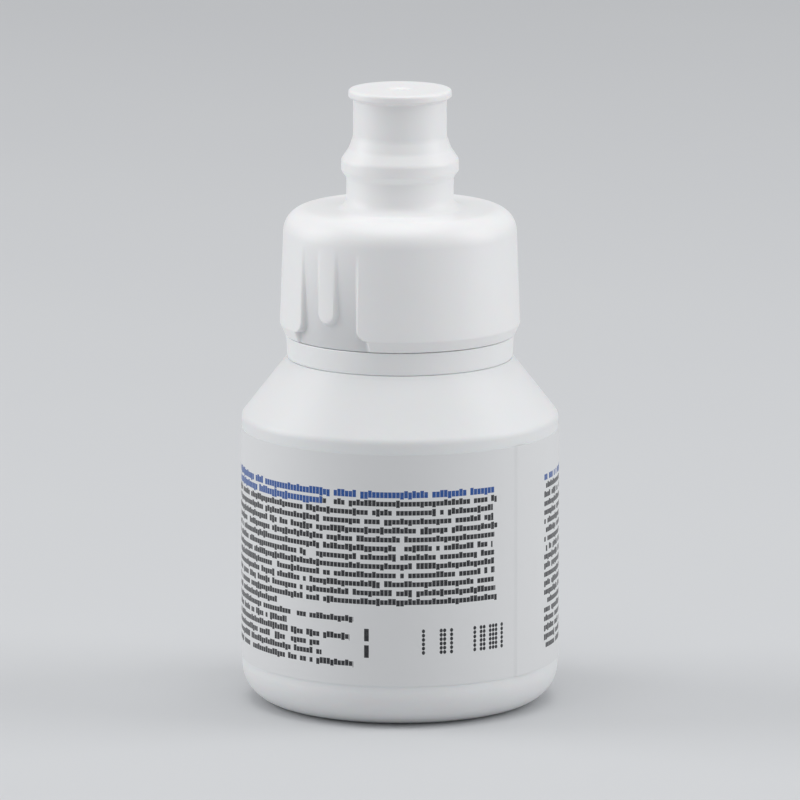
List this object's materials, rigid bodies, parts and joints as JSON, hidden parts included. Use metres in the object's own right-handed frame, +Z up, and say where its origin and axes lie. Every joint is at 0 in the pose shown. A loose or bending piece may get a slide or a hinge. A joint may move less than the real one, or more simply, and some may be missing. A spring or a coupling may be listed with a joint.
{
  "type": "contact lens solution bottle",
  "caption": "Small round squeeze bottle with a conical shoulder, wrap label, pressed-in drop nozzle, stepped screw cap with grip recesses, and tamper-evident band.",
  "frame": {"origin": "centre of the standing ring, on the surface that the bottle stands on", "axes": "+Z up along the bottle's axis, the front of the label faces -Y, +X to the right seen from the front"},
  "size_m": [0.0402, 0.0402, 0.078],
  "materials": {
    "bottle_plastic": "satin white, blown",
    "label_film": "white film, printed rows",
    "nozzle_plastic": "milky, slightly clear",
    "cap_plastic": "semi-gloss white, moulded"
  },
  "bodies": {
    "bottle": {"bottle_body": "bottle_plastic", "wrap_label": "label_film", "dropper_nozzle": "nozzle_plastic"},
    "band": {"tamper_band": "cap_plastic"},
    "cap": {"screw_cap": "cap_plastic"}
  },
  "joints": [
    {"name": "cap_turn", "type": "hinge", "parent": "bottle", "child": "band", "pos_m": [0, 0, 0.0452], "axis": [0, 0, 1], "range_deg": [0, 3420]},
    {"name": "cap_rise", "type": "slide", "parent": "band", "child": "cap", "axis": [0, 0, 1], "range_m": [0, 0.0305]}
  ],
  "couplings": [
    {"joint": "cap_rise", "follows": "cap_turn", "m_per_rad": 0.0005093}
  ]
}
